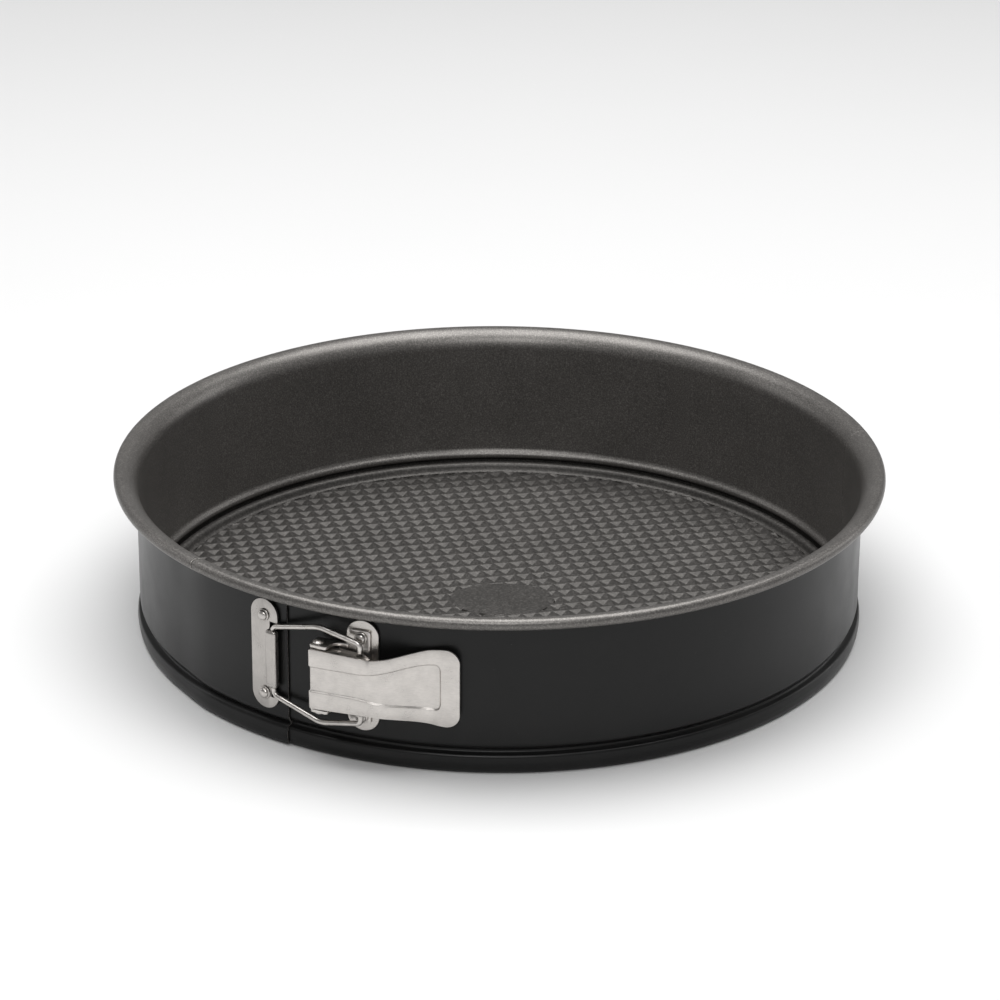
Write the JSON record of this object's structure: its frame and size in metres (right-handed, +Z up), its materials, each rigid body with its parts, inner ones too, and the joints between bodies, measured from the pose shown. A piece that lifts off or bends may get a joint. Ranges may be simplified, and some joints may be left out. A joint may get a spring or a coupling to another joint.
{
  "type": "springform pan",
  "caption": "Round springform cake pan: sprung steel band with rolled rim and base groove, loose waffled base plate, and over-centre lever latch with a wire bail.",
  "frame": {"origin": "on the surface the pan stands on, under the pan's centre", "axes": "+Z up; -Y is the front, where the band's seam is; +X is towards the lever's side"},
  "size_m": [0.2988, 0.2993, 0.0644],
  "materials": {
    "coated_steel": "satin near-black non-stick coating on sheet steel",
    "coated_base": "satin dark grey non-stick coating with a pressed waffle pattern",
    "stainless": "satin stainless steel"
  },
  "bodies": {
    "ring_right": {"ring_band_right": "coated_steel", "bracket_plate": "stainless", "hinge_saddle": "stainless", "bracket_rivet_top": "stainless", "bracket_rivet_bottom": "stainless", "pivot_pin": "stainless"},
    "ring_left": {"ring_band_left": "coated_steel", "catch_plate": "stainless", "catch_rivet_top": "stainless", "catch_rivet_bottom": "stainless"},
    "base": {"base_plate": "coated_base"},
    "lever": {"lever": "stainless"},
    "bail": {"wire_bail": "stainless"}
  },
  "joints": [
    {"name": "latch_lever", "type": "hinge", "parent": "ring_right", "child": "lever", "pos_m": [0.01706, -0.14571, 0.0343], "axis": [0, 0, -1], "range_deg": [0, 135]},
    {"name": "ring_open", "type": "hinge", "parent": "ring_right", "child": "ring_left", "pos_m": [0, 0.1503, 0.0322], "axis": [0, 0, -1], "range_deg": [0, 4.26]},
    {"name": "bail_swing", "type": "hinge", "parent": "ring_left", "child": "bail", "pos_m": [-0.00539, -0.143, 0.0343], "axis": [0, 0, -1], "range_deg": [0, 21.75]},
    {"name": "base_lift", "type": "slide", "parent": "ring_right", "child": "base", "axis": [0, 0, 1], "range_m": [0, 0.075]}
  ],
  "couplings": [
    {"joint": "ring_open", "follows": "latch_lever", "ratio": 0.031484},
    {"joint": "bail_swing", "follows": "latch_lever", "ratio": 0.16062}
  ]
}
